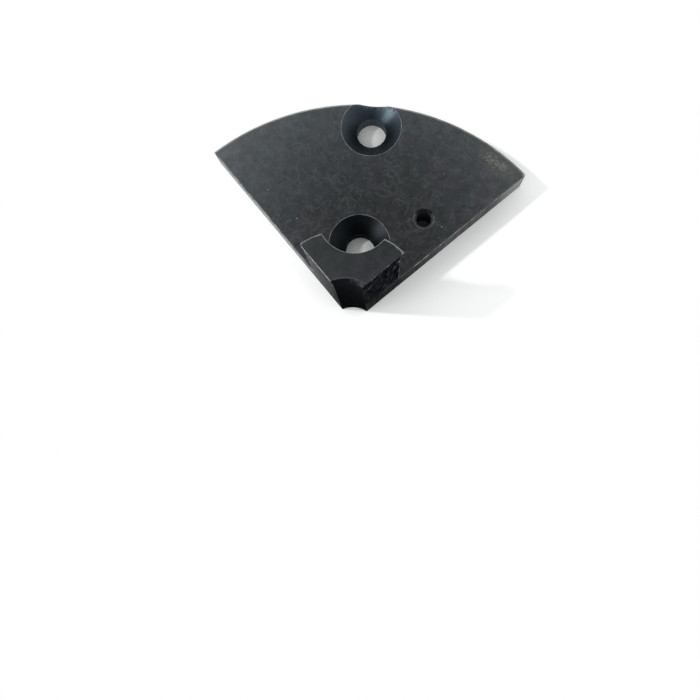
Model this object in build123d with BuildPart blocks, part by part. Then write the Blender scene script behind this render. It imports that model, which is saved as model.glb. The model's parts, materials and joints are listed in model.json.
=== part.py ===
from build123d import *
import os

# Spigot jaw of a woodturning chuck, in millimetres.
# A plate in the form of a quarter of a disc is screwed down on the chuck's slide. A short
# post stands at its inner corner. The quarter bore in the post closes round a small turned
# spigot, and the dovetail outside the post opens into a recess of the same form.
# +Z points out of the clamping side, +Y away from the chuck's axis, and the origin is midway
# between the two screw holes, on the underside.

# The blank, turned as one disc with its post before it is cut into four
disc_radius = 50.8
plate_thickness = 6.35
jaw_height = 25.4
rim_chamfer = 0.5
saw_kerf = 3.2

# The post
post_radius = 15.875
dovetail_height = 3.5
dovetail_undercut = 0.9
bore_radius = 5.7
bore_chamfer = 0.9

# Countersunk screws, which hold the jaw on its slide: the inner one is placed from the
# chuck's axis and the outer one from the rim
inner_screw_radius = 18.5
outer_screw_inset = 5.4
screw_hole_radius = 3.3
countersink_radius = 6.7
countersink_angle = 90
driver_clearance = 0.35

# Tapped hole beside the centreline, measured from the chuck's axis
tapped_hole_x = 13.45
tapped_hole_y = 25.4
tapped_core_radius = 1.65
tapped_mouth_radius = 2.2

# Places that follow from the sizes above
screw_pitch = disc_radius - outer_screw_inset - inner_screw_radius
chuck_axis_y = -(inner_screw_radius + screw_pitch / 2)
neck_radius = post_radius - dovetail_undercut
chuck_axis = Axis((0, chuck_axis_y, 0), (0, 0, 1))
plate_top = Plane.XY.offset(plate_thickness)
turning_section = Plane(origin=(0, chuck_axis_y, 0), x_dir=(1, 0, 0), z_dir=(0, -1, 0))


with BuildPart() as jaw:
    # The half section of the blank runs from the bore out to the rim.
    with BuildSketch(turning_section):
        with BuildLine():
            Polyline(
                (bore_radius, 0),
                (disc_radius, 0),
                (disc_radius, plate_thickness),
                (neck_radius, plate_thickness),
                (neck_radius, jaw_height - dovetail_height),
                (post_radius, jaw_height),
                (bore_radius, jaw_height),
                close=True,
            )
        make_face()
    revolve(axis=chuck_axis)

    # The turned edges are broken at the bore's mouth and along the rim.
    turned_edges = jaw.edges().filter_by(GeomType.CIRCLE)
    bore_mouth = turned_edges.group_by(Axis.Z)[-1].sort_by(SortBy.RADIUS)[0]
    rim_top = turned_edges.group_by(SortBy.RADIUS)[-1].sort_by(Axis.Z)[-1]
    chamfer(bore_mouth, length=bore_chamfer)
    chamfer(rim_top, length=rim_chamfer)

    # Two saw cuts through the axis leave this quarter, and each takes half its kerf.
    for side in (-1, 1):
        cut_face = Plane(origin=(0, chuck_axis_y, 0), z_dir=(side, 1, 0)).offset(saw_kerf / 2)
        split(bisect_by=cut_face, keep=Keep.TOP)

    # The inner screw's head and its driver come down through the post, which leaves two ears.
    with BuildSketch(plate_top):
        with Locations((0, -screw_pitch / 2)):
            Circle(countersink_radius + driver_clearance)
    extrude(amount=jaw_height - plate_thickness, mode=Mode.SUBTRACT)

    # The outer countersink is wide enough to break out through the rim.
    with Locations(plate_top):
        with GridLocations(0, screw_pitch, 1, 2):
            CounterSinkHole(screw_hole_radius, countersink_radius, counter_sink_angle=countersink_angle)

    # The tapped hole goes through the plate and has a chamfered mouth.
    with Locations(plate_top):
        with Locations((tapped_hole_x, chuck_axis_y + tapped_hole_y)):
            CounterSinkHole(tapped_core_radius, tapped_mouth_radius, counter_sink_angle=countersink_angle)

os.makedirs("parts", exist_ok=True)
jaw.part.label = "jaw"
export_step(jaw.part, "parts/jaw.step")
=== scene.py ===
# %% [markdown]
# # A spigot chuck jaw in blackened steel
#
# The jaw is one machined piece: a quarter of a turned disc, with a short post at its inner corner. Its form
# is finished in the frame, so this lesson is about what machining, blackening and use leave on it: broken
# edges that catch the light, bright wear along them, a thread in the small hole, faint scuffs on the flat
# face, and rough sawn sides. The frame is loaded first, and its box is kept for the jaw's sizes.

# %% Load the frame
import json
import math

import bmesh
import bpy
import numpy as np
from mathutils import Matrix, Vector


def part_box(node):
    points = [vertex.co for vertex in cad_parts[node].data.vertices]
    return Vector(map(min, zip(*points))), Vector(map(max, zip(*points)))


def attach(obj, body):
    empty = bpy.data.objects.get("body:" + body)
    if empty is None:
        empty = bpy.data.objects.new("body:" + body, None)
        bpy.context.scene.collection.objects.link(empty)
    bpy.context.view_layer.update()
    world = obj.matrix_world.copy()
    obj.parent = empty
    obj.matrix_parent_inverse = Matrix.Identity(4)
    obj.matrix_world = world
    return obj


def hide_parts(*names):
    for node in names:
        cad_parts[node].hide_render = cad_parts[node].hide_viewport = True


MM = 0.001


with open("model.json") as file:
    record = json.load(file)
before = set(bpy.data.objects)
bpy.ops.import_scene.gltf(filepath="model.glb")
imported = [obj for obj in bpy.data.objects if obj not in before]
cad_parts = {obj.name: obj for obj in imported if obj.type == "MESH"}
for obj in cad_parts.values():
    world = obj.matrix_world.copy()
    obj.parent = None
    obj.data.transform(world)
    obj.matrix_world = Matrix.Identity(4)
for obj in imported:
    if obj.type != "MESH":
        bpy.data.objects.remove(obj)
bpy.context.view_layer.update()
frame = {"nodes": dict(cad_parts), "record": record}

# %% [markdown]
# ## Sizes
#
# A finish follows the jaw's own geometry, so the script needs the jaw's sizes. What the frame states is
# read from it: the height and the rim from the box, the screw holes and the tapped hole from the mounts.
# The rest are the sizes on the jaw's drawing. Everything is kept in millimetres here and turned into metres
# where a mesh is made.

# %% Sizes of the jaw, in millimetres
mounts = {m["name"]: m for m in frame["record"]["mounts"]}
box_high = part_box("jaw")[1]
jaw_height = box_high.z / MM
screw_pitch = mounts["screw_holes"]["dims"]["spacing_y_mm"]
screw_hole_radius = mounts["screw_holes"]["dims"]["hole_r_mm"]
tapped_core_radius = mounts["tapped_hole"]["dims"]["r_mm"]
tapped_x, tapped_y, tapped_middle = (v / MM for v in mounts["tapped_hole"]["pos_m"])

inner_screw_radius = 18.5
outer_screw_inset = 5.4
plate_thickness = 6.35
rim_chamfer = 0.5
half_kerf = 1.6
post_radius = 15.875
dovetail_height = 3.5
dovetail_undercut = 0.9
bore_radius = 5.7
bore_chamfer = 0.9
countersink_radius = 6.7
driver_way_radius = 7.05
tapped_mouth_radius = 2.2

chuck_y = -(inner_screw_radius + screw_pitch / 2)
inner_y = -screw_pitch / 2
outer_y = screw_pitch / 2
disc_radius = box_high.y / MM - chuck_y
neck_radius = post_radius - dovetail_undercut
mouth_radius = bore_radius + bore_chamfer
undercut_z = jaw_height - dovetail_height
mouth_z = jaw_height - bore_chamfer
print(f"disc radius {disc_radius:.2f}, height {jaw_height:.2f}, chuck axis at y {chuck_y:.2f}")


# %% [markdown]
# ## Camera
#
# The camera stands close above the jaw, a little off the vertical, with a wide lens. So near, the post leans
# outwards in the picture and both sawn sides of the plate can be seen.

# %% Camera
def new_object(name, data):
    """New object that shows data, linked to the scene."""
    made = bpy.data.objects.new(name, data)
    bpy.context.scene.collection.objects.link(made)
    return made


camera_place_mm = (9.78, -52.05, 144.46)
camera_turn_deg = (6.703, 3.273, 5.734)
camera_data = bpy.data.cameras.new("camera")
camera_data.lens = 33.53
camera_data.sensor_width = 36
camera_data.clip_start = 0.005
camera = new_object("camera", camera_data)
camera.location = [v * MM for v in camera_place_mm]
camera.rotation_euler = [math.radians(v) for v in camera_turn_deg]
bpy.context.scene.camera = camera
print(f"camera {camera_place_mm[2]:.0f} mm above the floor, lens {camera_data.lens:.1f} mm")


# %% [markdown]
# ## A short way to write shader nodes
#
# A node needs three things: its kind, its settings and what goes into its sockets. The helpers below say
# them in one call, so a formula in words stays close to the nodes that work it out.

# %% Helpers that make one node
def feed(socket, value):
    """Links value into socket when it is another socket, and otherwise sets it."""
    if isinstance(value, bpy.types.NodeSocket):
        socket.id_data.links.new(value, socket)
    else:
        socket.default_value = value


def add(tree, kind, inputs=None, **settings):
    """New node of that kind in tree, with its settings made and its inputs fed."""
    node = tree.nodes.new(kind)
    for name, value in settings.items():
        setattr(node, name, value)
    for key, value in (inputs or {}).items():
        feed(node.inputs[key], value)
    return node


def calc(tree, operation, *values):
    """One Math node: operation on one, two or three values."""
    return add(tree, "ShaderNodeMath", dict(enumerate(values)), operation=operation).outputs[0]


def vector(tree, operation, *values):
    """One Vector Math node. Its second output is the number that lengths and dot products give."""
    node = add(tree, "ShaderNodeVectorMath", dict(enumerate(values)), operation=operation)
    return node.outputs[1] if operation in ("LENGTH", "DOT_PRODUCT") else node.outputs[0]


def scaled(tree, value, factor):
    """A vector times a number."""
    return add(tree, "ShaderNodeVectorMath", {0: value, "Scale": factor}, operation="SCALE").outputs[0]


def split(tree, value):
    """The three numbers of a vector."""
    return tuple(add(tree, "ShaderNodeSeparateXYZ", {0: value}).outputs)


def joined(tree, x, y):
    """A vector with no height."""
    return add(tree, "ShaderNodeCombineXYZ", {0: x, 1: y}).outputs[0]


def ramp(tree, value, low, high, to_low=0.0, to_high=1.0):
    """Smooth step: to_low where value is low, to_high where it is high, eased between."""
    inputs = {"Value": value, "From Min": low, "From Max": high, "To Min": to_low, "To Max": to_high}
    return add(tree, "ShaderNodeMapRange", inputs, interpolation_type="SMOOTHSTEP").outputs[0]


def blend(tree, factor, first, second):
    """Colour mix: first where factor is 0, second where it is 1."""
    return add(tree, "ShaderNodeMix", {0: factor, 6: first, 7: second}, data_type="RGBA").outputs[2]


def noise(tree, position, scale, detail=2.0, roughness=0.5, distortion=0.0):
    """Noise from 0 to 1, with scale waves in each millimetre."""
    inputs = {"Vector": position, "Scale": scale, "Detail": detail, "Roughness": roughness,
              "Distortion": distortion}
    return add(tree, "ShaderNodeTexNoise", inputs).outputs[0]


# %% Helpers that make a few nodes
IN_PLAN = (1, 1, 0)


def chain(tree, operation, first, *others):
    """Math nodes in a row: first with the next value, the result with the one after it, and so on."""
    for value in others:
        first = calc(tree, operation, first, value)
    return first


def times(tree, *factors):
    """All the factors multiplied."""
    return chain(tree, "MULTIPLY", *factors)


def distance(tree, place, point):
    """Distance from a point."""
    return vector(tree, "LENGTH", vector(tree, "SUBTRACT", place, point))


def plan_distance(tree, place, x, y):
    """Distance, seen from above, from an upright line at x and y."""
    offset = vector(tree, "SUBTRACT", place, (x, y, 0))
    return vector(tree, "LENGTH", vector(tree, "MULTIPLY", offset, IN_PLAN))


def waves(tree, size):
    """How many waves a pattern of that size has in each millimetre."""
    return calc(tree, "DIVIDE", 1.0, size)


def layered(tree, colour, layers):
    """Colours laid over each other. A layer is its mask, its strength where that is 1, and its colour."""
    for mask, strength, over in layers:
        factor = mask if strength == 1 else times(tree, mask, strength)
        colour = blend(tree, factor, colour, over)
    return colour


# %% Helpers for node groups
SOCKET_KINDS = {1: "NodeSocketFloat", 3: "NodeSocketVector", 4: "NodeSocketColor"}


def in_words(name):
    """A socket's name, with spaces where the Python name has _."""
    return name.replace("_", " ")


def new_group(name, outputs, **inputs):
    """Empty node group, and the sockets inside it of its position, its inputs and its outputs. What kind an
    input is follows from how many numbers its value holds."""
    tree = bpy.data.node_groups.new(name, "ShaderNodeTree")
    for label, value in {"Position": (0, 0, 0), **inputs}.items():
        kind = SOCKET_KINDS[np.size(value)]
        tree.interface.new_socket(in_words(label), in_out="INPUT", socket_type=kind).default_value = value
    for label in outputs:
        kind = "NodeSocketColor" if label == "Color" else "NodeSocketFloat"
        tree.interface.new_socket(label, in_out="OUTPUT", socket_type=kind)
    ins, outs = tree.nodes.new("NodeGroupInput").outputs, tree.nodes.new("NodeGroupOutput").inputs
    return tree, ins["Position"], ins, outs


def end_group(tree, outs, **values):
    """Feeds the group's outputs, prints what it holds and gives it back."""
    for name, value in values.items():
        feed(outs[name], value)
    print(f"node group {tree.name}: {len(tree.nodes)} nodes")
    return tree


def use(tree, group, place, label="", **inputs):
    """Places a node group, feeds its position and its other inputs, and gives its outputs."""
    fed = {in_words(name): value for name, value in inputs.items()}
    return add(tree, "ShaderNodeGroup", {"Position": place, **fed}, node_tree=group, label=label).outputs


# %% [markdown]
# ## Where the edges are
#
# Handling wears the black off the sharp edges first. A painted mask would blur and a curvature mask needs a
# very dense mesh, but every edge of this jaw is either a turned ring or a straight run, and the distance
# from a point to either one is a short formula. So the mask is worked out from the jaw's sizes and is sharp
# at any zoom.

# %% Corners that the edges run between
# A diagonal runs this far along x and along y for each millimetre of its own.
DIAGONAL = math.sqrt(0.5)


def on_side(side, radius, z):
    """Point on a sawn side at that radius from the chuck's axis. The side lies half a kerf inside the
    diagonal, so along the diagonal the point is at the root of radius squared less half_kerf squared."""
    along = math.sqrt(radius**2 - half_kerf**2)
    return side * DIAGONAL * (along - half_kerf), chuck_y + DIAGONAL * (along + half_kerf), z


def ear_tip(side, radius, z):
    """Point where a ring about the chuck's axis meets the driver's way round the inner screw."""
    y = (radius**2 + inner_screw_radius**2 - driver_way_radius**2) / (2 * inner_screw_radius)
    return side * math.sqrt(radius**2 - y**2), chuck_y + y, z


# %% Rings: name, centre, radius and how wide the wear is
rings = [
    ("post rim", (0, chuck_y, jaw_height), post_radius, 0.46),
    ("driver's way", (0, inner_y, jaw_height), driver_way_radius, 0.15),
    ("bore mouth", (0, chuck_y, jaw_height), mouth_radius, 0.045),
    ("plate rim, top", (0, chuck_y, plate_thickness), disc_radius - rim_chamfer, 0.09),
    ("plate rim, side", (0, chuck_y, plate_thickness - rim_chamfer), disc_radius, 0.24),
    ("inner countersink", (0, inner_y, plate_thickness), countersink_radius, 0.045),
    ("outer countersink", (0, outer_y, plate_thickness), countersink_radius, 0.04),
    ("tapped mouth", (tapped_x, tapped_y, plate_thickness), tapped_mouth_radius, 0.038),
]
print(len(rings), "rings")

# %% Straight runs: name, start, end and how wide the wear is
LEFT, RIGHT = -1, 1
same_wear = {"ear corner": 0.80, "ear tip": 0.46, "plate foot": 0.16, "bore corner": 0.06}
side_wear = {
    LEFT: {"post side": 0.18, "plate side": 0.13, "rim corner": 0.20, "neck corner": 0.20},
    RIGHT: {"post side": 0.08, "plate side": 0.14, "rim corner": 1.10, "neck corner": 0.42},
}
# Beside the post the plate's right edge stayed black for this far.
still_black_mm = {LEFT: 0.0, RIGHT: 4.0}
runs = []
for side in (LEFT, RIGHT):
    plate_start = neck_radius + still_black_mm[side]
    # Radius and height of each run's two ends
    ends = {
        "post side": ((mouth_radius, jaw_height), (post_radius, jaw_height)),
        "ear corner": ((post_radius, jaw_height), (neck_radius, undercut_z)),
        "neck corner": ((neck_radius, undercut_z), (neck_radius, plate_thickness + 1)),
        "ear tip": ((post_radius, jaw_height), (neck_radius, undercut_z)),
        "plate side": ((plate_start, plate_thickness), (disc_radius, plate_thickness)),
        "plate foot": ((bore_radius, 0), (disc_radius, 0)),
        "rim corner": ((disc_radius, 0), (disc_radius, plate_thickness)),
        "bore corner": ((bore_radius, undercut_z), (bore_radius, mouth_z)),
    }
    widths = same_wear | side_wear[side]
    for name, (start, end) in ends.items():
        place_at = ear_tip if name == "ear tip" else on_side
        runs.append((name, place_at(side, *start), place_at(side, *end), widths[name]))
# The right ear's top corner is rubbed most of all, for less than a millimetre down.
ear_top, ear_below = (on_side(RIGHT, post_radius - 0.2, jaw_height - down) for down in (0, 0.8))
runs.append(("rubbed ear", ear_top, ear_below, 0.85))
print(len(runs), "straight runs")

# %% Node group: distance to a ring
# The point's distance from the axis less the radius, and its height above the ring, are the two short sides
# of a right triangle. The distance is the long side.
tree, place, ins, outs = new_group("distance to a ring", ["Distance"], Centre=(0, 0, 0), Radius=1.0)
x, y, z = split(tree, vector(tree, "SUBTRACT", place, ins["Centre"]))
off_wall = calc(tree, "SUBTRACT", vector(tree, "LENGTH", joined(tree, x, y)), ins["Radius"])
ring_distance = end_group(tree, outs, Distance=vector(tree, "LENGTH", joined(tree, off_wall, z)))

# %% Node group: distance to a straight run
# The share of the run that the point lies beside is its dot product with the run over the run's own, kept
# between 0 and 1. The distance is then the length from there to the point.
tree, place, ins, outs = new_group("distance to a run", ["Distance"], Start=(0, 0, 0), End=(0, 0, 1))
from_start = vector(tree, "SUBTRACT", place, ins["Start"])
whole = vector(tree, "SUBTRACT", ins["End"], ins["Start"])
beside = vector(tree, "DOT_PRODUCT", from_start, whole)
share = calc(tree, "DIVIDE", beside, vector(tree, "DOT_PRODUCT", whole, whole))
share = add(tree, "ShaderNodeClamp", {0: share}).outputs[0]
off_run = vector(tree, "SUBTRACT", from_start, scaled(tree, whole, share))
run_distance = end_group(tree, outs, Distance=vector(tree, "LENGTH", off_run))

# %% Node group: worn edges
# Each distance is measured in widths of that edge's own wear, and the nearest edge counts. Two noises,
# which add up to 1 in the middle, fray the line and thin it out in places.
tree, place, ins, outs = new_group("worn edges", ["Mask"], Fray=0.6, Amount=1.0)
in_widths = []
for name, centre, radius, width in rings:
    ring = use(tree, ring_distance, place, name, Centre=centre, Radius=radius)
    in_widths.append(calc(tree, "DIVIDE", ring[0], width))
for name, start, end, width in runs:
    run = use(tree, run_distance, place, name, Start=start, End=end)
    in_widths.append(calc(tree, "DIVIDE", run[0], width))
nearest = chain(tree, "MINIMUM", *in_widths)
coarse = noise(tree, place, scale=0.45, detail=3.0, roughness=0.6)
fine = noise(tree, place, scale=3.2, roughness=0.6)
both = calc(tree, "ADD", times(tree, coarse, 1.2), times(tree, fine, 0.8))
push = times(tree, calc(tree, "SUBTRACT", both, 1.0), ins["Fray"])
inside = calc(tree, "SUBTRACT", calc(tree, "ADD", push, ins["Amount"]), nearest)
worn_edges = end_group(tree, outs, Mask=ramp(tree, inside, -0.05, 0.55))

# %% [markdown]
# ## What lies on the faces
#
# Blackening turns the steel's skin into a thin dark oxide, with faint clouds where it took differently.
# Tumbling and stacking left short, curved, tangled scuffs on the flat face, rubbing took the oxide off in a
# patch, and dust lies on it in bright specks. A picture of such a face would blur close up and could not be
# moved. Each effect is a node group with its own inputs instead, so that every finish places it with its
# own values.

# %% Node group: oxide clouds and painted shade
# Two colours are mixed by soft noise, and a fine grain lightens and darkens the result. On top of that a
# painted shade is darkest at one place and lightens outwards: the colour grows by the lightening input
# times the distance from there squared, in thousands of mm2.
tree, place, ins, outs = new_group(
    "oxide clouds and painted shade", ["Color"], Cold=(0, 0, 0, 1), Warm=(0, 0, 0, 1), Size=14.0, Grain=0.25, Grain_size=1.0,
    Deepest=(0, 0, 0), Thinning=0.0,
)
soft = noise(tree, place, waves(tree, ins["Size"]), detail=3.0, roughness=0.55, distortion=0.4)
colour = blend(tree, ramp(tree, soft, 0.38, 0.60), ins["Cold"], ins["Warm"])
grain = noise(tree, place, waves(tree, ins["Grain size"]), detail=5.0, roughness=0.68,
              distortion=0.5)
twice = times(tree, ins["Grain"], 2.0)
lift = calc(tree, "MULTIPLY_ADD", calc(tree, "SUBTRACT", grain, 0.5), twice, 1.0)
away = vector(tree, "MULTIPLY", vector(tree, "SUBTRACT", place, ins["Deepest"]), IN_PLAN)
squared = calc(tree, "DIVIDE", vector(tree, "DOT_PRODUCT", away, away), 1000.0)
painted_lift = calc(tree, "ADD", times(tree, squared, ins["Thinning"]), 1.0)
oxide_clouds_and_painted_shade = end_group(tree, outs, Color=scaled(tree, colour, times(tree, lift, painted_lift)))

# %% Node group: tangled scuffs
# A noise field crosses its own middle value along thin winding lines. The distance to such a line is about
# the field's offset from the middle over its slope, and the slope comes from two samples a short step away.
# A second noise, read far from the first, keeps only short pieces of the lines.
STEP_MM = 0.12
LEAST_SLOPE = 0.02
FAR_OFF = (51.0, 17.0, 5.0)
tree, place, ins, outs = new_group("tangled scuffs", ["Mask"], Size=3.0, Width=0.12, Share=0.5)
winding = {"scale": waves(tree, ins["Size"]), "detail": 1.0, "distortion": 0.6}
field = noise(tree, place, **winding)
slopes = []
for step in ((STEP_MM, 0, 0), (0, STEP_MM, 0)):
    aside = noise(tree, vector(tree, "ADD", place, step), **winding)
    slopes.append(calc(tree, "DIVIDE", calc(tree, "SUBTRACT", aside, field), STEP_MM))
slope = calc(tree, "ADD", vector(tree, "LENGTH", joined(tree, *slopes)), LEAST_SLOPE)
off_line = calc(tree, "DIVIDE", calc(tree, "ABSOLUTE", calc(tree, "SUBTRACT", field, 0.5)), slope)
full, gone = (times(tree, ins["Width"], share) for share in (0.2, 1.4))
line = ramp(tree, off_line, full, gone, 1.0, 0.0)
keep = noise(tree, vector(tree, "ADD", place, FAR_OFF), scale=0.30, roughness=0.6)
gate = calc(tree, "SUBTRACT", 0.75, times(tree, ins["Share"], 0.5))
kept = ramp(tree, calc(tree, "SUBTRACT", keep, gate), 0.0, 0.09)
tangled_scuffs = end_group(tree, outs, Mask=times(tree, line, kept))

# %% Node group: rubbed patch
# The oxide is rubbed through near a short line: fully on it and not at all beyond Reach, with its own edge
# and inside broken by noise.
tree, place, ins, outs = new_group(
    "rubbed patch", ["Mask", "Near"], Start=(0, 0, 0), End=(0, 0, 1), Reach=2.0,
)
off_run = use(tree, run_distance, place, Start=ins["Start"], End=ins["End"])[0]
near = calc(tree, "SUBTRACT", 1.0, calc(tree, "DIVIDE", off_run, ins["Reach"]))
broken = noise(tree, place, scale=2.4, detail=5.0, roughness=0.8, distortion=1.4)
level = calc(tree, "ADD", times(tree, near, 0.6), times(tree, broken, 3.2))
rubbed_patch = end_group(tree, outs, Mask=ramp(tree, level, 2.1, 2.4), Near=ramp(tree, near, 0.0, 0.7))

# %% Node group: dust specks
# Each cell of a Voronoi pattern has one point, and a speck lies there if the cell's random number is under
# the share. The pattern is a flat one, seen from above. A second random number makes some specks smaller.
tree, place, ins, outs = new_group("dust specks", ["Mask"], Spacing=6.0, Radius=0.12, Share=0.5)
cells = add(tree, "ShaderNodeTexVoronoi", {"Vector": place, "Scale": waves(tree, ins["Spacing"])},
            voronoi_dimensions="2D")
gap = times(tree, cells.outputs["Distance"], ins["Spacing"])
chances = add(tree, "ShaderNodeSeparateColor", {0: cells.outputs["Color"]}).outputs
radius = times(tree, ins["Radius"], ramp(tree, chances[1], 0.0, 1.0, 0.5, 1.1))
speck = ramp(tree, gap, times(tree, radius, 0.5), radius, 1.0, 0.0)
chosen = calc(tree, "LESS_THAN", chances[0], ins["Share"])
dust_specks = end_group(tree, outs, Mask=times(tree, speck, chosen))

# %% [markdown]
# ## Marks of the tools
#
# A turned or drilled wall has fine grooves round its axis, and a sawn side has a rough drag across it.
# Cutting them into the mesh would take millions of faces for marks a few hundredths of a millimetre deep,
# so both are heights for a bump. Each is noise, drawn out along the way that the tool went.

# %% Node group: turning marks
# A cutting tool leaves one fine groove each turn, so the height depends on the distance from the axis plus
# the distance along it, divided by the feed.
tree, place, ins, outs = new_group("turning marks", ["Height"], Centre=(0, 0, 0), Feed=0.12)
x, y, z = split(tree, vector(tree, "SUBTRACT", place, ins["Centre"]))
travel = calc(tree, "ADD", vector(tree, "LENGTH", joined(tree, x, y)), z)
groove = add(tree, "ShaderNodeTexNoise", {"W": travel, "Scale": waves(tree, ins["Feed"])},
             noise_dimensions="1D")
turning_marks = end_group(tree, outs, Height=groove.outputs[0])

# %% Node group: saw marks
# The blade drags down the side and leans a little, so the noise is drawn out along the height and close
# along the length. Where the blade tore the metal, coarse blotches break the lines up.
BLADE_LEAN = -0.33
TORN_DEPTH = 0.7
tree, place, ins, outs = new_group("saw marks", ["Height", "Torn"], Along=6.0, Across=0.35)
x, _, z = split(tree, place)
across = calc(tree, "DIVIDE", calc(tree, "MULTIPLY_ADD", z, BLADE_LEAN, x), ins["Across"])
drawn_out = joined(tree, across, calc(tree, "DIVIDE", z, ins["Along"]))
streak = noise(tree, drawn_out, scale=1.0, detail=3.0, roughness=0.6)
wide_streak = noise(tree, scaled(tree, drawn_out, 0.55), scale=1.0, detail=3.0, roughness=0.65)
blotch = noise(tree, place, scale=0.9, detail=4.0, roughness=0.7, distortion=0.8)
torn = ramp(tree, times(tree, blotch, wide_streak), 0.265, 0.36)
depth = calc(tree, "ADD", streak, times(tree, torn, TORN_DEPTH))
saw_marks = end_group(tree, outs, Height=depth, Torn=torn)

# %% [markdown]
# ## Three finishes for one jaw
#
# The flat faces are smooth and lightly scuffed, the sawn sides are rough, and the bores, cones and turned
# walls are the darkest because nothing has touched them. All three are the same oxide on the same steel.
# Each one ends in its own Principled shader, with what is constant set on the shader itself.

# %% What every finish starts from and ends with
BARE_STEEL = (0.36, 0.365, 0.35, 1)
OXIDE_METALLIC = 0.85
FINE_BUMP_MM = 0.003


def start_finish(name):
    """New material, its empty tree and the place of the shaded point on the jaw, in millimetres."""
    material = bpy.data.materials.new(name)
    material.use_nodes = True
    tree = material.node_tree
    tree.nodes.clear()
    place = add(tree, "ShaderNodeTexCoord").outputs["Object"]
    return material, tree, scaled(tree, place, 1 / MM)


def end_finish(material, colour, roughness, height, depth_mm, metallic=OXIDE_METALLIC, glance=1.0):
    """Principled shader over colour, roughness and a bump of that depth. A rough face shines less than a
    smooth one where it is seen at a glancing angle, and glance says how much is left of that."""
    tree = material.node_tree
    bump = add(tree, "ShaderNodeBump", {"Height": height, "Distance": depth_mm * MM})
    shader = add(tree, "ShaderNodeBsdfPrincipled", {
        "Base Color": colour, "Roughness": roughness, "Metallic": metallic, "Normal": bump.outputs[0],
        "Specular Tint": (glance, glance, glance, 1), "Specular IOR Level": 0.5 * glance})
    add(tree, "ShaderNodeOutputMaterial", {"Surface": shader.outputs[0]})
    print(f"finish {material.name}: {len(tree.nodes)} nodes")


# %% [markdown]
# ### The flat faces
#
# The plate's top was ground, blackened and tumbled, so its scuffs cross each other in every direction and
# in several sizes. The post's top stood clear of the rest and kept its black, and only its rim is worn
# bright. One finish serves both, and the height tells them apart.

# %% The flat faces: oxide, scuffs and dust
# Two places closer than this count as the same one.
NEAR_MM = 0.02
OVER_PLATE_Z, UNDER_TOP_Z = 8.0, 20.0
LEFT_CORNER_X = -34.0
# Scuffs from coarse to fine: how far the pattern is moved, its size, its width, its share and its strength
SCUFF_LAYERS = [
    (0, 4.6, 0.15, 0.46, 0.80),
    (31, 3.2, 0.13, 0.46, 0.90),
    (77, 2.2, 0.12, 0.50, 0.85),
    (113, 1.5, 0.11, 0.54, 0.75),
]


def by_height(tree, height, on_plate, on_post):
    """One value on the plate's top and another on the post's. No flat face lies between the two heights."""
    return ramp(tree, height, OVER_PLATE_Z, UNDER_TOP_Z, on_plate, on_post)


face_finish, tree, place = start_finish("blackened_face")
across, _, height = split(tree, place)
# Painted reflection: the colour is darkest a little right of the plate's middle and grows lighter outwards.
clouds = use(tree, oxide_clouds_and_painted_shade, place, Cold=(0.0355, 0.0402, 0.0419, 1),
             Warm=(0.0382, 0.0402, 0.0438, 1), Size=8.0, Grain=0.55, Grain_size=2.0,
             Deepest=(5.3, -11.9, 0), Thinning=0.93)
scuffs = 0.0
for shift, size, width, share, strength in SCUFF_LAYERS:
    moved = vector(tree, "ADD", place, (shift, -0.7 * shift, 0))
    layer = use(tree, tangled_scuffs, moved, Size=size, Width=width, Share=share)[0]
    scuffs = calc(tree, "MAXIMUM", scuffs, times(tree, layer, strength))
# The post's top has almost no scuffs, and the plate's left has fewer than its right.
scuffs = times(tree, scuffs, by_height(tree, height, 1.0, 0.2),
               ramp(tree, across, LEFT_CORNER_X, -16.0, 0.5, 1.0))
# Dust lies only on the plate's top.
off_top = calc(tree, "ABSOLUTE", calc(tree, "SUBTRACT", height, plate_thickness))
specks = use(tree, dust_specks, place, Spacing=8.0, Radius=0.15, Share=0.4)[0]
specks = times(tree, specks, calc(tree, "LESS_THAN", off_top, NEAR_MM))
# Near the right corner the oxide is rubbed through.
rubbed = use(tree, rubbed_patch, place, Start=(26.5, 8.5, plate_thickness),
             End=(29.8, 6.1, plate_thickness), Reach=4.2)
print("nodes so far:", len(tree.nodes))

# %% The flat faces: worn edges
# The plate's edges wear in dashes and the post's in a whole line. The left rim is brighter than the right:
# partly wear, partly a painted highlight where the window's light catches it.
fray = by_height(tree, height, 2.0, 0.9)
on_plate = by_height(tree, height, 1.0, 0.0)
amount = calc(tree, "MULTIPLY_ADD", on_plate, ramp(tree, across, LEFT_CORNER_X, 30.0, 0.55, -0.15), 0.85)
worn = use(tree, worn_edges, place, Fray=fray, Amount=amount)[0]
# Where the outer cone breaks out through the rim the edge stays black.
break_out = (0, outer_y + outer_screw_inset, plate_thickness - 0.8)
off_break = ramp(tree, distance(tree, place, break_out), 3.8, 4.6)
# The left of the inner countersink's edge is less worn than its right.
off_inner = plan_distance(tree, place, 0, inner_y)
near_inner = ramp(tree, off_inner, countersink_radius + 0.2, countersink_radius + 0.5, 1.0, 0.0)
spared = times(tree, near_inner, on_plate, ramp(tree, across, -6.5, -1.0, 0.65, 0.0))
# The side of the tapped hole's chamfer that is away from the chuck's axis is darkened far below the oxide's
# colour, and its edge is not worn.
from_tapped = vector(tree, "SUBTRACT", place, (tapped_x, tapped_y, plate_thickness))
off_tapped = vector(tree, "LENGTH", from_tapped)
outward = ramp(tree, split(tree, from_tapped)[1], 0.5, 1.7)
far_chamfer_dark = times(tree, ramp(tree, off_tapped, 2.25, 2.4, 1.0, 0.0), outward)
worn = times(tree, worn, off_break, calc(tree, "SUBTRACT", 1.0, spared),
             calc(tree, "SUBTRACT", 1.0, far_chamfer_dark))
print("nodes so far:", len(tree.nodes))

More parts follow.
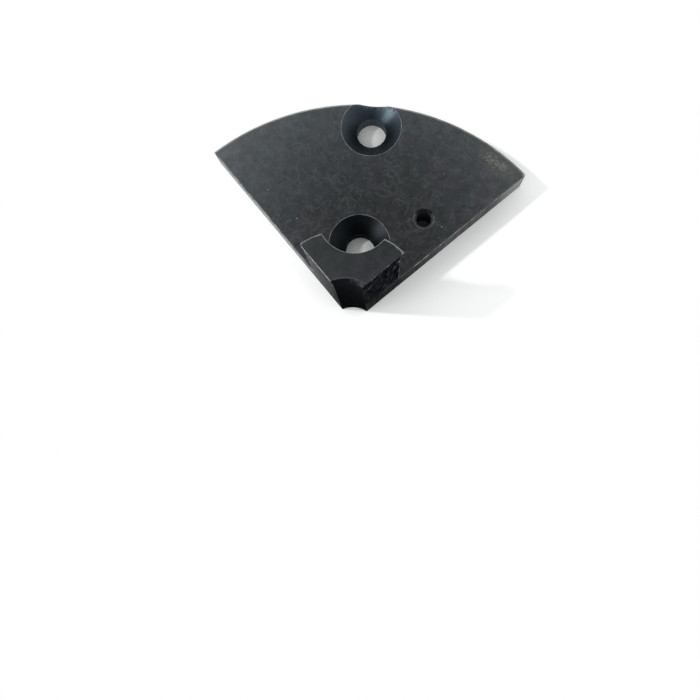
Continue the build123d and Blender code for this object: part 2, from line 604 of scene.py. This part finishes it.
# %% The flat faces: colour, gloss and bump
SCUFFED_OXIDE = (0.12, 0.126, 0.124, 1)
THINNED_OXIDE = (0.085, 0.078, 0.071, 1)
RUBBED_STEEL = (0.24, 0.225, 0.212, 1)
DUST = (0.34, 0.34, 0.33, 1)
colour = scaled(tree, clouds["Color"], by_height(tree, height, 1.0, 1.10))
colour = scaled(tree, colour, calc(tree, "MULTIPLY_ADD", far_chamfer_dark, -0.85, 1.0))
colour = layered(tree, colour, [
    (scuffs, 0.23, SCUFFED_OXIDE),
    (rubbed["Near"], 0.22, THINNED_OXIDE),
    (rubbed["Mask"], 0.80, RUBBED_STEEL),
    (worn, 0.75, BARE_STEEL),
    (specks, 1, DUST),
])
# Scuffs and the rubbed patch are a little duller than the face, and the tap left its hole's chamfer rougher.
dull = times(tree, calc(tree, "MAXIMUM", scuffs, rubbed["Mask"]), 0.12)
roughness = calc(tree, "ADD", calc(tree, "ADD", 0.29, dull), ramp(tree, off_tapped, 2.1, 2.3, 0.3, 0.0))
end_finish(face_finish, colour, roughness, times(tree, scuffs, -1.0), FINE_BUMP_MM)

# %% [markdown]
# ### The sawn sides
#
# The saw left these sides rough, so the black sits deep in the marks and the crests are rubbed grey. The
# plate's sides and the battered right corner are paler, the corner knocked almost bare, while beside the
# post the sides are nearly black: dark oxide with painted shade. Masks that follow the place along the side
# and the height say where.

# %% The sawn sides: saw marks and worn edges
side_finish, tree, place = start_finish("blackened_sawn_side")
across, _, height = split(tree, place)
# The oxide here is nearly black, and partly painted shade: as dark as the post's sides look in their shade.
clouds = use(tree, oxide_clouds_and_painted_shade, place, Cold=(0.0035, 0.0062, 0.0105, 1),
             Warm=(0.0045, 0.0065, 0.0098, 1), Size=4.0, Grain=0.9, Grain_size=0.6)
saw = use(tree, saw_marks, place, Along=2.6, Across=0.26)
worn = use(tree, worn_edges, place, Fray=1.5, Amount=0.85)[0]
print("nodes so far:", len(tree.nodes))

# %% The sawn sides: where they are pale and where they are bare
# The plate's side is paler than the post's, the left side paler than the right, and most of all the
# battered corner. Uneven patches, drawn out along the height, break the pale up.
past_post = calc(tree, "MAXIMUM", ramp(tree, across, -11.0, -6.0, 1.0, 0.35), ramp(tree, across, 7.0, 12.0))
on_plate = times(tree, ramp(tree, height, 4.5, 12.0, 0.58, 0.0), past_post)
on_left = ramp(tree, across, -10.5, -4.5, 0.52, 0.0)
pale = chain(tree, "MAXIMUM", on_plate, on_left, ramp(tree, across, 24.0, 34.0))
mottle = noise(tree, vector(tree, "MULTIPLY", place, (1, 1, 0.035)), scale=2.2, detail=3.0, roughness=0.7)
pale = times(tree, pale, ramp(tree, mottle, 0.38, 0.60, 0.55, 1.2))
rubbed = calc(tree, "MAXIMUM", times(tree, saw["Torn"], 0.7), pale)
# At the battered corner the steel is almost bare, and the plate's left side is almost as pale.
low_down = ramp(tree, height, 5.0, 6.3, 1.0, 0.0)
far_left = ramp(tree, across, -15.0, -8.0, 1.0, 0.0)
bare = calc(tree, "MAXIMUM", times(tree, low_down, far_left), ramp(tree, across, 27.0, 34.0))
grit = noise(tree, vector(tree, "MULTIPLY", place, (1, 1, 0.5)), scale=2.6, detail=3.0, roughness=0.7)
bare = times(tree, bare, ramp(tree, grit, 0.38, 0.58, 0.55, 1.0))
print("nodes so far:", len(tree.nodes))

# %% The sawn sides: colour and bump
RUBBED_CRESTS = (0.24, 0.25, 0.25, 1)
BARE_SAWN_STEEL = (0.345, 0.355, 0.35, 1)
SAW_BUMP_MM = 0.20
colour = layered(tree, clouds["Color"], [
    (rubbed, 0.75, RUBBED_CRESTS),
    (bare, 1, BARE_SAWN_STEEL),
    (worn, 1, BARE_STEEL),
])
end_finish(side_finish, colour, 0.50, saw["Height"], SAW_BUMP_MM, metallic=0.5, glance=0.15)

# %% [markdown]
# ### The bores, cones and turned walls
#
# Nothing has rubbed these walls, so they are nearly black, and their fine turning marks spread the light
# into soft streaks. Only the bore's chamfer is rubbed, where work pieces knock against it. One finish
# serves them all: the distances from the three holes tell a cone from a drilled wall and from the thread.

# %% The walls: oxide, turning marks and wear
AT_INNER_CONE = (countersink_radius, countersink_radius + 0.1)
wall_finish, tree, place = start_finish("blackened_wall")
# Painted shade: the walls are darkest at the chuck's axis and grow lighter away from it.
clouds = use(tree, oxide_clouds_and_painted_shade, place, Cold=(0.0126, 0.0180, 0.0230, 1),
             Warm=(0.0132, 0.0168, 0.0200, 1), Size=6.0, Grain=0.12, Grain_size=1.5,
             Deepest=(0, chuck_y, 0), Thinning=0.81)
marks = use(tree, turning_marks, place, Centre=(0, outer_y, 0), Feed=0.16)[0]
# The bore's chamfer is rubbed at one spot.
rubbed = use(tree, rubbed_patch, place, Start=(1.2, -25.3, 25.2), End=(3.2, -26.6, 25.0), Reach=1.9)
worn = use(tree, worn_edges, place, Fray=0.9, Amount=0.8)[0]
# Inside the outer cone the rim's wear stops short.
off_cone = distance(tree, place, (0, outer_y, plate_thickness))
worn = times(tree, worn, ramp(tree, off_cone, 6.3, 6.6))
print("nodes so far:", len(tree.nodes))

# %% The walls: colour, gloss and bump
# The cones are darkened towards their holes, and the inner one, beside the post, more: painted shade. The
# drilled walls are rough and grey, the thread and the bore's chamfer nearly black.
BORE_CHAMFER_FOOT = (24.3, 24.6)
RUBBED_CHAMFER = (0.17, 0.18, 0.18, 1)
off_inner = plan_distance(tree, place, 0, inner_y)
off_screw = calc(tree, "MINIMUM", off_inner, plan_distance(tree, place, 0, outer_y))
off_tapped = plan_distance(tree, place, tapped_x, tapped_y)
drilled = calc(tree, "LESS_THAN", off_screw, screw_hole_radius + 0.05)
threaded = calc(tree, "LESS_THAN", off_tapped, tapped_core_radius + 0.40)
tone_and_painted_shade = times(
    tree,
    ramp(tree, off_screw, screw_hole_radius + 0.1, countersink_radius - 0.2, 0.6, 1.07),
    ramp(tree, off_inner, *AT_INNER_CONE, 0.62, 1.0),
    calc(tree, "MULTIPLY_ADD", drilled, 2.3, 1.0),
    calc(tree, "MULTIPLY_ADD", threaded, -0.5, 1.0),
    ramp(tree, split(tree, place)[2], *BORE_CHAMFER_FOOT, 1.0, 0.35),
)
colour = layered(tree, scaled(tree, clouds["Color"], tone_and_painted_shade), [
    (rubbed["Mask"], 0.5, RUBBED_CHAMFER),
    (worn, 1, BARE_STEEL),
])
roughness = calc(tree, "MULTIPLY_ADD", calc(tree, "MAXIMUM", drilled, threaded), 0.3, 0.32)
roughness = calc(tree, "ADD", roughness, ramp(tree, off_inner, *AT_INNER_CONE, 0.1, 0.0))
end_finish(wall_finish, colour, roughness, marks, FINE_BUMP_MM)

# %% [markdown]
# ## The jaw's surface
#
# The frame's mesh has exact places but knife-sharp edges, and no real edge is that sharp. A copy of it is
# welded into one skin and its flat faces are made whole. Each outward edge then gets a bevel weight, wider
# where hands and wood rub it, and the Bevel modifier rounds it. The copy replaces the plain node.

# %% Weld a copy of the node
WELD_M = 1e-7
FLAT_DEG = 0.5
skin = bmesh.new()
skin.from_mesh(frame["nodes"]["jaw"].data)
bmesh.ops.remove_doubles(skin, verts=skin.verts, dist=WELD_M)
bmesh.ops.dissolve_limit(skin, angle_limit=math.radians(FLAT_DEG), verts=skin.verts, edges=skin.edges)
print("welded skin:", len(skin.verts), "vertices,", len(skin.faces), "faces")


def open_edges():
    """The skin's edges that have only one face."""
    return [edge for edge in skin.edges if edge.is_boundary]


# %% [markdown]
# ### A clean dovetail
#
# The mesh has stray points in the middle of the two dovetail walls, also on their corners. A bevel wider
# than the gaps between them would fold over itself, so both walls are laid anew as one strip between their
# two arcs.

# %% Lay the dovetail walls anew
INSIDE_MM = 0.1
CLEAR_MM = 1.2


def on_arc(vert, radius, height):
    """Whether a vertex lies on the ring of that radius and height about the chuck's axis."""
    x, y, z = vert.co / MM
    return abs(math.hypot(x, y - chuck_y) - radius) < NEAR_MM and abs(z - height) < NEAR_MM


def on_dovetail(vert):
    """Whether a vertex lies on the dovetail cone. Its radius grows evenly with height from the neck up."""
    height = vert.co.z / MM
    share = (height - undercut_z) / dovetail_height
    return abs(share - 0.5) < 0.51 and on_arc(vert, neck_radius + dovetail_undercut * share, height)


old_faces = [face for face in skin.faces if all(on_dovetail(v) for v in face.verts)]
bmesh.ops.delete(skin, geom=old_faces, context="FACES")
strays = [v for v in skin.verts
          if on_dovetail(v) and undercut_z + INSIDE_MM < v.co.z / MM < jaw_height - INSIDE_MM]
bmesh.ops.dissolve_verts(skin, verts=strays)
# The points next to the ears' sawn corners go too, to make room for a wide rounding there.
corners = [on_side(side, radius, height) for side in (LEFT, RIGHT)
           for radius, height in ((neck_radius, undercut_z), (post_radius, jaw_height))]
crowded = [v for v in skin.verts if on_dovetail(v)
           and any(NEAR_MM < math.dist(v.co / MM, corner) < CLEAR_MM for corner in corners)]
bmesh.ops.dissolve_verts(skin, verts=crowded)
arcs = [e for e in open_edges() if abs(e.verts[0].co.z - e.verts[1].co.z) < NEAR_MM * MM]
for side in (LEFT, RIGHT):
    bmesh.ops.bridge_loops(skin, edges=[e for e in arcs if e.verts[0].co.x * side > 0])
bmesh.ops.recalc_face_normals(skin, faces=skin.faces)
print("dovetail:", len(old_faces), "faces and", len(strays) + len(crowded), "stray points out")
print("open edges:", len(open_edges()))

# %% [markdown]
# ### The battered corner
#
# The plate's right corner has been knocked and filed round, far more than the other edges. A bevel that
# wide would run into the rim's chamfer, so the corner is cut by a few upright planes instead, all tangent
# to one small circle.

# %% Round the right corner
CORNER_MM = 0.6
CORNER_CUTS = 3
SHORT_MM = 0.04
ON_PLANE_M = 1e-9


def corner_planes(radius, count):
    """Normals and points of planes round an upright corner, rows of two. The circle they touch lies its
    radius inside the sawn side and inside the rim, and the normals turn from the side's to the rim's."""
    off = half_kerf + radius
    along = math.sqrt((disc_radius - radius) ** 2 - off**2)
    centre = np.array([DIAGONAL * (along - off), chuck_y + DIAGONAL * (along + off)])
    rim_turn = math.atan2(centre[1] - chuck_y, centre[0])
    turns = np.linspace(-math.pi / 4, rim_turn, count + 2)[1:-1]
    normals = np.stack([np.cos(turns), np.sin(turns)], axis=1)
    return normals, centre + normals * radius


for normal, point in zip(*corner_planes(CORNER_MM, CORNER_CUTS)):
    everything = skin.verts[:] + skin.edges[:] + skin.faces[:]
    bmesh.ops.bisect_plane(skin, geom=everything, dist=ON_PLANE_M, plane_co=(*point * MM, 0),
                           plane_no=(*normal, 0), clear_outer=True)
    bmesh.ops.holes_fill(skin, edges=open_edges(), sides=0)
# The cuts leave a few edges too short to round, so their ends are joined.
bmesh.ops.remove_doubles(skin, verts=skin.verts, dist=SHORT_MM * MM)
print("corner cut by", CORNER_CUTS, "planes; open edges:", len(open_edges()))

# %% [markdown]
# ### The tapped hole's thread
#
# The frame leaves this wall plain, at the radius of the thread's crests. Here the plain wall is taken out,
# and a thread is let in between its two rings: a grid round the hole and along it, whose radius grows into
# the metal along a helix. Both ends fade out to the plain radius, so the rings join with no gap.

# %% Take out the plain wall
# A face counts as steep when its normal's z is under this.
STEEP_Z = 0.5
thread_top = 2 * tapped_middle


def hole_radius(co):
    """Distance from the tapped hole's axis, in millimetres."""
    return math.hypot(co.x / MM - tapped_x, co.y / MM - tapped_y)


def turn_of(vert):
    """Angle of a vertex round the tapped hole."""
    return math.atan2(vert.co.y / MM - tapped_y, vert.co.x / MM - tapped_x)


def on_plain_wall(vert):
    """Whether a vertex lies on the tapped hole's plain wall, up to the foot of its chamfer."""
    return abs(hole_radius(vert.co) - tapped_core_radius) < NEAR_MM and vert.co.z / MM < thread_top + NEAR_MM


wall = [face for face in skin.faces if all(on_plain_wall(v) for v in face.verts)
        and abs(face.normal.z) < STEEP_Z]
bmesh.ops.delete(skin, geom=wall, context="FACES")
rims = {v for e in open_edges() for v in e.verts}
lower = sorted((v for v in rims if v.co.z / MM < thread_top / 2), key=turn_of)
upper = sorted((v for v in rims if v.co.z / MM > thread_top / 2), key=turn_of)
print("thread wall:", len(wall), "faces out, rings of", len(lower), "and", len(upper), "vertices")

# %% Cut the thread
THREAD_PITCH = 0.7
THREAD_DEPTH = 0.35
FADE_MM = 0.5
ROWS_A_TURN = 10
# Half of the crest's flat and one flank, in half pitches. The rest is half of the flat at the root.
CREST_SHARE, FLANK_SHARE = 0.25, 0.625


def thread_grid(angles, height):
    """Points of the thread, rows by columns by three. At angle a and height z the radius is the core's, plus
    the depth times the V profile of z / pitch - a / turn, times a fade that is 0 at both ends."""
    rows = int(height / THREAD_PITCH * ROWS_A_TURN) + 1
    z = np.linspace(0, height, rows)[:, None]
    a = np.asarray(angles)[None, :]
    phase = np.mod(z / THREAD_PITCH - a / (2 * np.pi), 1)
    peak = np.abs(2 * phase - 1)
    profile = np.clip((peak - CREST_SHARE) / FLANK_SHARE, 0, 1)
    end = np.clip(np.minimum(z, height - z) / FADE_MM, 0, 1)
    radius = tapped_core_radius + THREAD_DEPTH * profile * end * end * (3 - 2 * end)
    x = tapped_x + radius * np.cos(a)
    y = tapped_y + radius * np.sin(a)
    return np.stack([x, y, np.broadcast_to(z, x.shape)], axis=2)


grid = thread_grid([turn_of(v) for v in lower], thread_top)
grid[0] = [np.array(v.co) / MM for v in lower]
grid[-1] = [np.array(v.co) / MM for v in upper]
rows, columns = grid.shape[:2]
index = np.arange(rows * columns).reshape(rows, columns)
beside = np.roll(index, -1, axis=1)
quads = np.stack([index[:-1], index[1:], beside[1:], beside[:-1]], axis=2).reshape(-1, 4)
thread = bpy.data.meshes.new("thread")
thread.from_pydata((grid.reshape(-1, 3) * MM).tolist(), [], quads.tolist())
skin.from_mesh(thread)
bmesh.ops.remove_doubles(skin, verts=skin.verts, dist=WELD_M)
bpy.data.meshes.remove(thread)
print("thread:", rows, "rows by", columns, "columns; open edges:", len(open_edges()))

# %% [markdown]
# ### Finishes and rounded edges
#
# Each face gets one of the three finishes by where it lies and which way it looks, so no face has to be
# picked by hand. The edges are weighed in the same way: a weight of 1 is the widest rounding, and inward
# edges have none.

# %% Sort the faces by finish
FLAT, SAWN, WALL = 0, 1, 2
# A face is level when its normal's z is over the first, and upright when it is under the second.
LEVEL_Z, UPRIGHT_Z = 0.999, 0.01


def finish_of(face):
    """Flat for faces that look straight up or down, for the rim and for the tapped hole's chamfer, sawn for
    the two sides, wall for the rest."""
    centre = face.calc_center_median() / MM
    from_axis = math.hypot(centre.x, centre.y - chuck_y)
    at_tapped_mouth = hole_radius(centre * MM) < tapped_mouth_radius and centre.z > thread_top
    if abs(face.normal.z) > LEVEL_Z or from_axis > disc_radius - rim_chamfer * 0.6 or at_tapped_mouth:
        return FLAT
    across_diagonal = abs(abs(face.normal.x) - DIAGONAL) < 0.002 and abs(face.normal.y + DIAGONAL) < 0.002
    if abs(face.normal.z) < UPRIGHT_Z and across_diagonal:
        offset = (abs(centre.x) - (centre.y - chuck_y)) * DIAGONAL + half_kerf
        return SAWN if abs(offset) < 0.05 else WALL
    return WALL


for face in skin.faces:
    face.material_index = finish_of(face)
    face.smooth = face.material_index != SAWN and abs(face.normal.z) <= LEVEL_Z
print("faces by finish:", np.bincount([f.material_index for f in skin.faces]).tolist())

# %% Weigh the edges for the bevel
ROUNDING_MM = {"ear corner": 0.95, "neck corner": 0.30, "ear tip": 0.28, "post top": 0.14,
               "rim or bore corner": 0.12, "plain edge": 0.08, "outer cone": 0.04}
WIDEST_MM = max(ROUNDING_MM.values())
SHARP_DEG = 25
# An edge counts as upright when one end is this much higher than the other.
UPRIGHT_MM = 0.3
weight_layer = skin.edges.layers.float.new("bevel_weight_edge")


def rounding(edge):
    """How far an edge is rounded, in millimetres. Inward edges, the thread and the bore stay as they are.
    The ears' corners are rubbed most, other upright edges less, then the post's top, the rest hardly."""
    start, end = (v.co / MM for v in edge.verts)
    middle = (start + end) / 2
    in_hole = hole_radius(middle * MM) < tapped_core_radius + THREAD_DEPTH
    in_thread = in_hole and middle.z < thread_top + NEAR_MM
    if math.degrees(edge.calc_face_angle_signed(0)) < SHARP_DEG or in_thread:
        return 0.0
    from_axis = math.hypot(middle.x, middle.y - chuck_y)
    if abs(start.z - end.z) > UPRIGHT_MM:
        if from_axis > post_radius + 1 or from_axis < bore_radius + 1.5:
            return ROUNDING_MM["rim or bore corner"]
        if math.hypot(middle.x, middle.y - inner_y) < driver_way_radius + 0.3:
            return ROUNDING_MM["ear tip"]
        return ROUNDING_MM["ear corner" if middle.z > undercut_z else "neck corner"]
    if middle.z > jaw_height - NEAR_MM:
        return ROUNDING_MM["post top"]
    if from_axis < mouth_radius - 0.1 and middle.z > undercut_z:
        return 0.0
    at_outer_screw = math.hypot(middle.x, middle.y - outer_y) < countersink_radius + 0.5
    return ROUNDING_MM["outer cone" if at_outer_screw else "plain edge"]


for edge in skin.edges:
    width = rounding(edge)
    edge[weight_layer] = width / WIDEST_MM
    edge.smooth = width > 0 or abs(math.degrees(edge.calc_face_angle_signed(0))) < SHARP_DEG
print("edges to round:", sum(e[weight_layer] > 0 for e in skin.edges))

# %% Make the finished piece
jaw_mesh = bpy.data.meshes.new("jaw_finished")
skin.to_mesh(jaw_mesh)
skin.free()
for material in (face_finish, side_finish, wall_finish):
    jaw_mesh.materials.append(material)
jaw = new_object("jaw_finished", jaw_mesh)
bevel = jaw.modifiers.new("rounded edges", "BEVEL")
bevel.width = WIDEST_MM * MM
bevel.segments = 3
bevel.limit_method = "WEIGHT"
bevel.use_clamp_overlap = False
shading = jaw.modifiers.new("even shading", "WEIGHTED_NORMAL")
shading.keep_sharp = True
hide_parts("jaw")
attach(jaw, "root")
print("finished piece:", len(jaw_mesh.vertices), "vertices before the bevel")

# %% [markdown]
# ## Floor
#
# The jaw lies on plain white board. Black metal shows little colour of its own and much of what stands
# round it, so something dark has to stand there too. A real card would show in the picture, so a black
# patch is painted into the board's material, and only the metal sees it: a painted dark reflection.

# %% Floor
FLOOR_HALF_M = 3.0
square = [(-1, -1), (1, -1), (1, 1), (-1, 1)]
floor_mesh = bpy.data.meshes.new("floor")
floor_mesh.from_pydata([(x * FLOOR_HALF_M, y * FLOOR_HALF_M, 0) for x, y in square], [], [(0, 1, 2, 3)])
floor = new_object("floor", floor_mesh)
print(f"floor {2 * FLOOR_HALF_M:.0f} m wide")

# %% The white board
BOARD_WHITE = (0.84, 0.84, 0.83)
PAINTED_SHADE_UNDER_JAW = 0.72
JAW_MIDDLE = (0, -4, 0)
FADE_FROM, FADE_TO = 24.0, 80.0
board, tree, place = start_finish("white_board")
rays = add(tree, "ShaderNodeLightPath").outputs
# Round the jaw the board keeps its shadow, and further out it goes over into a clean white background.
seen = calc(tree, "MAXIMUM", rays["Is Camera Ray"], rays["Is Glossy Ray"])
fade = times(tree, seen, ramp(tree, distance(tree, place, JAW_MIDDLE), FADE_FROM, FADE_TO))
# Under the jaw, where the holes show it, the board's colour is darkened as painted shade, and darkest under
# the tapped hole.
holes = ((0, outer_y), (0, inner_y), (tapped_x, tapped_y))
from_holes = [distance(tree, place, (x, y, 0)) for x, y in holes]
shade = times(tree, ramp(tree, from_holes[2], 3.0, 4.0, 0.15, 1.0), PAINTED_SHADE_UNDER_JAW)
past_holes = ramp(tree, chain(tree, "MINIMUM", *from_holes), 4.0, 4.6)
board_colour = blend(tree, past_holes, scaled(tree, BOARD_WHITE, shade), (*BOARD_WHITE, 1))
matt = add(tree, "ShaderNodeBsdfDiffuse", {"Color": board_colour}).outputs[0]
glow = add(tree, "ShaderNodeEmission").outputs[0]
lit = add(tree, "ShaderNodeMixShader", {0: fade, 1: matt, 2: glow}).outputs[0]
print("nodes so far:", len(tree.nodes))

# %% The painted dark reflection
# Painted dark reflection: a black patch on the board, seen only by glossy rays, lies in front of the bore
# and the right side, and ends along a slanting line on the left.
PAINTED_REFLECTION_BLACK = (0.004, 0.004, 0.004, 1)
PAINTED_REFLECTION_MIDDLE = (6, -30, 0)
PAINTED_REFLECTION_SLANT = -0.25
x, y, _ = split(tree, place)
slant = times(tree, calc(tree, "ADD", y, 27.0), PAINTED_REFLECTION_SLANT)
right_of = ramp(tree, calc(tree, "ADD", x, slant), -10.0, -5.0)
painted_dark_reflection = times(tree, right_of, ramp(tree, distance(tree, place, PAINTED_REFLECTION_MIDDLE), 15.0, 26.0, 1.0, 0.0),
             rays["Is Glossy Ray"])
black = add(tree, "ShaderNodeBsdfDiffuse", {"Color": PAINTED_REFLECTION_BLACK}).outputs[0]
mixed = add(tree, "ShaderNodeMixShader", {0: painted_dark_reflection, 1: lit, 2: black})
add(tree, "ShaderNodeOutputMaterial", {"Surface": mixed.outputs[0]})
floor_mesh.materials.append(board)
print("board and card:", len(tree.nodes), "nodes")


# %% [markdown]
# ## Light
#
# A bright window low on the left lights the left cut face and glances off the countersinks. The rest is
# even light from all round, dimmer overhead, where the camera stands. A narrow lamp, set high, reaches down
# into the holes, which a low window can't.

# %% World
def unit(x, y, z):
    """Direction of length 1."""
    way = np.array([x, y, z])
    return way / np.linalg.norm(way)


# Overhead, where the camera stands, there is a dim round spot: its strength grows with the angle from its
# middle. One side of the room, low at the right in front, is dim as well.
SPOT_WAY = tuple(unit(-0.033, 0.274, 1.0))
SPOT_DEG = 25
SPOT_LIGHT, ROUND_LIGHT = 0.10, 1.22
DIM_WAY = (0.48, -0.74, -0.47)
ROOM_LIGHT = (0.98, 1.0, 1.0, 1)
world = bpy.data.worlds.new("studio")
bpy.context.scene.world = world
world.use_nodes = True
tree = world.node_tree
tree.nodes.clear()
way = add(tree, "ShaderNodeTexCoord").outputs["Generated"]
off_spot = calc(tree, "ARCCOSINE", vector(tree, "DOT_PRODUCT", way, SPOT_WAY))
overhead = ramp(tree, off_spot, 0.0, math.radians(SPOT_DEG), SPOT_LIGHT, ROUND_LIGHT)
dim_side = ramp(tree, vector(tree, "DOT_PRODUCT", way, DIM_WAY), 0.25, 0.80, 1.0, 0.15)
strength = times(tree, overhead, dim_side)
light = add(tree, "ShaderNodeBackground", {"Color": ROOM_LIGHT, "Strength": strength}).outputs[0]
white = add(tree, "ShaderNodeBackground", {"Color": (1, 1, 1, 1)}).outputs[0]
seen = add(tree, "ShaderNodeLightPath").outputs["Is Camera Ray"]
mixed = add(tree, "ShaderNodeMixShader", {0: seen, 1: light, 2: white})
add(tree, "ShaderNodeOutputWorld", {"Surface": mixed.outputs[0]})
print(f"world: dim spot of {SPOT_DEG} degrees overhead")

# %% Window light
WINDOW_AWAY_M = 0.55
window_data = bpy.data.lights.new("window", "AREA")
window_data.shape = "RECTANGLE"
window_data.size = 0.13
window_data.size_y = 0.26
window_data.energy = 1.1
window = new_object("window", window_data)
toward = unit(-0.84, -0.46, 0.25)
window.location = toward * WINDOW_AWAY_M
# An area light shines along its own -Z, so its +Z is turned to point away from the jaw.
window.rotation_euler = (0, math.acos(toward[2]), math.atan2(toward[1], toward[0]))
print("window at", [round(v, 2) for v in window.location], "m")

# %% High lamp
# It comes in over the left lip of each countersink, so half of the board at the bottom of the holes is lit.
LAMP_HEIGHT_DEG = 43
lamp_data = bpy.data.lights.new("high lamp", "SUN")
lamp_data.energy = 1.4
lamp_data.angle = math.radians(4)
lamp = new_object("high lamp", lamp_data)
lamp.rotation_euler = (0, math.radians(90 - LAMP_HEIGHT_DEG), math.pi)
lamp.visible_glossy = False
print("high lamp", LAMP_HEIGHT_DEG, "degrees above the floor")

# %% Colour handling
# Standard shows each colour as the materials give it.
bpy.context.scene.view_settings.view_transform = "Standard"
